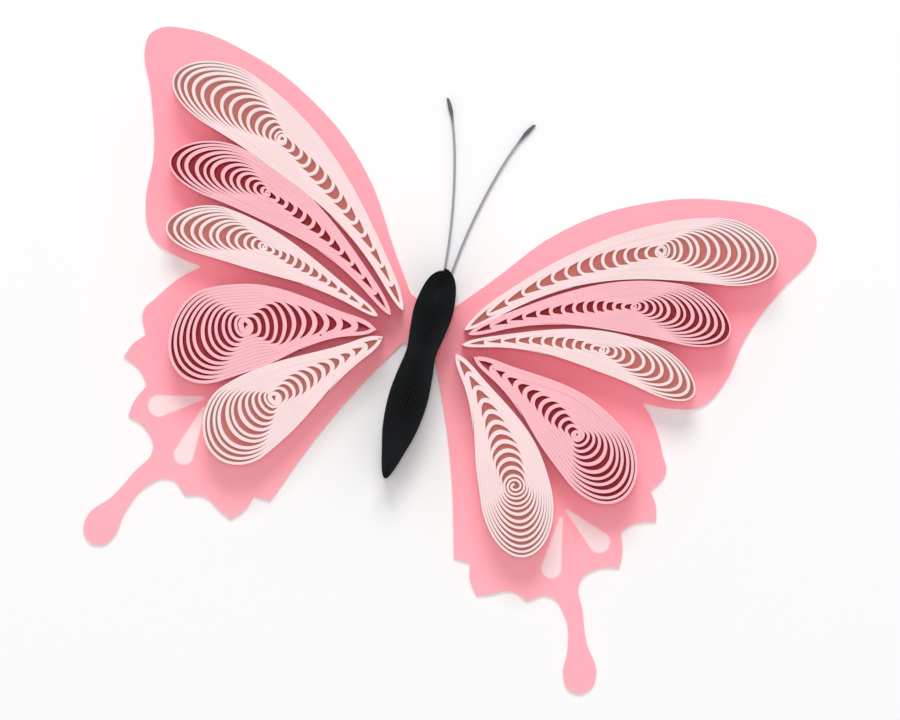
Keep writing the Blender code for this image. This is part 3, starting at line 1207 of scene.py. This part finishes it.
@dataclass
class Studio:
    """The white table, the soft light and the camera straight above."""

    picture: tuple[int, int] = (900, 720)
    tilt: float = math.radians(17.2)
    lens: float = 400.0
    sensor: float = 36.0
    margin_share: float = 0.04
    floor_drop: float = 0.02 * MM
    floor_size: float = 2.4
    floor_roughness: float = 0.9
    clip: tuple[float, float] = (0.01, 10.0)
    sky_level: float = 0.54
    key_share: float = 0.32
    key_distance: float = 0.8
    key_size: float = 0.36
    key_height: float = math.radians(52)
    overhead_share: float = 0.14
    overhead_distance: float = 0.76
    overhead_size: float = 0.10
    overhead_lean: float = math.radians(2)

    def build(self) -> None:
        """Set the table, the light and the camera."""
        self.add_floor()
        self.add_sky()
        self.add_lamp("key", self.key_height, self.key_distance, self.key_size, self.key_share)
        self.add_lamp(
            "overhead", math.pi / 2 - self.overhead_lean, self.overhead_distance,
            self.overhead_size, self.overhead_share,
        )
        self.add_camera()
        bpy.context.scene.view_settings.view_transform = "Standard"

    def right_and_up(self) -> tuple[Vector, Vector]:
        """Directions of the picture's right and top, seen in the frame."""
        right = Vector((math.cos(self.tilt), math.sin(self.tilt)))
        return right, Vector((-right.y, right.x))

    def add_floor(self) -> None:
        """Lay the white table just under the card."""
        half, level = self.floor_size / 2, -self.floor_drop
        corners = [(x * half, y * half, level) for x, y in ((-1, -1), (1, -1), (1, 1), (-1, 1))]
        mesh = bpy.data.meshes.new("table")
        mesh.from_pydata(corners, [], [(0, 1, 2, 3)])
        floor = bpy.data.objects.new("table", mesh)
        bpy.context.scene.collection.objects.link(floor)
        shader = Shader("white table")
        mesh.materials.append(shader.finish({
            "Base Color": WHITE,
            "Roughness": self.floor_roughness,
            "Specular IOR Level": 0.0,
        }))

    def add_sky(self) -> None:
        """Surround everything with even light, and show it white."""
        world = bpy.data.worlds.new("studio")
        world.use_nodes = True
        tree = world.node_tree
        tree.nodes.clear()
        path = tree.nodes.new("ShaderNodeLightPath")
        mix = tree.nodes.new("ShaderNodeMixShader")
        tree.links.new(path.outputs["Is Camera Ray"], mix.inputs["Fac"])
        for socket, level in ((mix.inputs[1], self.sky_level), (mix.inputs[2], 1.0)):
            background = tree.nodes.new("ShaderNodeBackground")
            background.inputs["Color"].default_value = WHITE
            background.inputs["Strength"].default_value = level
            tree.links.new(background.outputs["Background"], socket)
        output = tree.nodes.new("ShaderNodeOutputWorld")
        tree.links.new(mix.outputs["Shader"], output.inputs["Surface"])
        bpy.context.scene.world = world

    def add_lamp(
        self, name: str, height: float, distance: float, size: float, share: float
    ) -> None:
        """Hang a soft lamp towards the picture's top.

        Args:
            name: The lamp's name.
            height: Its angle above the table.
            distance: How far it is from the butterfly.
            size: Its width.
            share: The part of a white sheet's brightness that comes from it.
        """
        up = self.right_and_up()[1]
        flat = math.cos(height) * distance
        place = Vector((up.x * flat, up.y * flat, math.sin(height) * distance))
        light = bpy.data.lights.new(name, "AREA")
        light.shape = "DISK"
        light.size = size
        light.energy = share * math.pi ** 2 * distance ** 2 / math.sin(height)
        lamp = bpy.data.objects.new(name, light)
        lamp.location = place
        lamp.rotation_euler = (-place).to_track_quat("-Z", "Y").to_euler()
        bpy.context.scene.collection.objects.link(lamp)

    def add_camera(self) -> None:
        """Look straight down on the butterfly, turned as in the photograph."""
        right, up = self.right_and_up()
        spots = [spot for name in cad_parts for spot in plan_points(name)]
        sideways = [spot.dot(right) for spot in spots]
        upward = [spot.dot(up) for spot in spots]
        middle = (
            right * (min(sideways) + max(sideways)) / 2 + up * (min(upward) + max(upward)) / 2
        )
        wide = max(sideways) - min(sideways)
        high = (max(upward) - min(upward)) * self.picture[0] / self.picture[1]
        view_width = max(wide, high) * (1 + 2 * self.margin_share)
        camera = bpy.data.cameras.new("camera")
        camera.lens = self.lens
        camera.sensor_width = self.sensor
        camera.clip_start, camera.clip_end = self.clip
        stand = bpy.data.objects.new("camera", camera)
        stand.location = (middle.x, middle.y, view_width * self.lens / self.sensor)
        stand.rotation_euler = (0.0, 0.0, self.tilt)
        bpy.context.scene.collection.objects.link(stand)
        bpy.context.scene.camera = stand
        LOG.info("camera: %.1f mm across the picture", view_width / MM)


def main() -> None:
    """Build every piece in order, between the card's top and the coils' top."""
    logging.basicConfig(level=logging.INFO, format="%(name)s: %(message)s")
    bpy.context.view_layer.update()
    bottom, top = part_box("wing_card")[1][2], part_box("right_fore_top_coil")[1][2]
    # Each paper's colour at the foot of its walls and its plate's colour are painted shade; the
    # light of its inner walls and of its plate is painted light.
    pale = PaperFinish(
        "pale pink paper", colour=(1.0, 0.70, 0.70), edge=(1.0, 0.76, 0.77),
        deep_shade=(0.84, 0.66, 0.64), painted_glow=(0.05, 0.08, 0.07), shade_film=(1.0, 0.43, 0.42),
        shade_film_painted_glow=(0.11, 0.005, 0.0), bottom=bottom, top=top,
    )
    middle = PaperFinish(
        "mid pink paper", colour=(1.0, 0.44, 0.51), edge=(1.0, 0.52, 0.58),
        deep_shade=(0.66, 0.17, 0.24), painted_glow=(0.02, 0.0, 0.0), shade_film=(1.0, 0.17, 0.22),
        shade_film_painted_glow=(0.03, 0.0, 0.0), bottom=bottom, top=top,
    )
    # The black paper's cut edge is paler than its sides, partly its own tone and partly painted
    # sheen for the faint glints on the body's turns.
    black = PaperFinish(
        "black paper", colour=(0.008, 0.008, 0.009), edge=(0.012, 0.013, 0.014),
        deep_shade=(0.002, 0.002, 0.002), painted_glow=(0.0, 0.0, 0.0), shade_film=(0.001, 0.001, 0.001),
        shade_film_painted_glow=(0.0, 0.0, 0.0), bottom=bottom, top=top, roughness=0.8, gloss=0.06, mottle=0.4,
    )
    papers = {Tone.PALE: PaperSet.of(pale), Tone.MIDDLE: PaperSet.of(middle)}
    WingCard().dress()
    Feelers().dress()
    for side in Side:
        WingFan(side, bottom, top).build(papers)
    BodyCoil("body_coil", bottom, top).build(PaperSet.of(black), "black_paper")
    Studio().build()


if __name__ == "__main__":
    main()
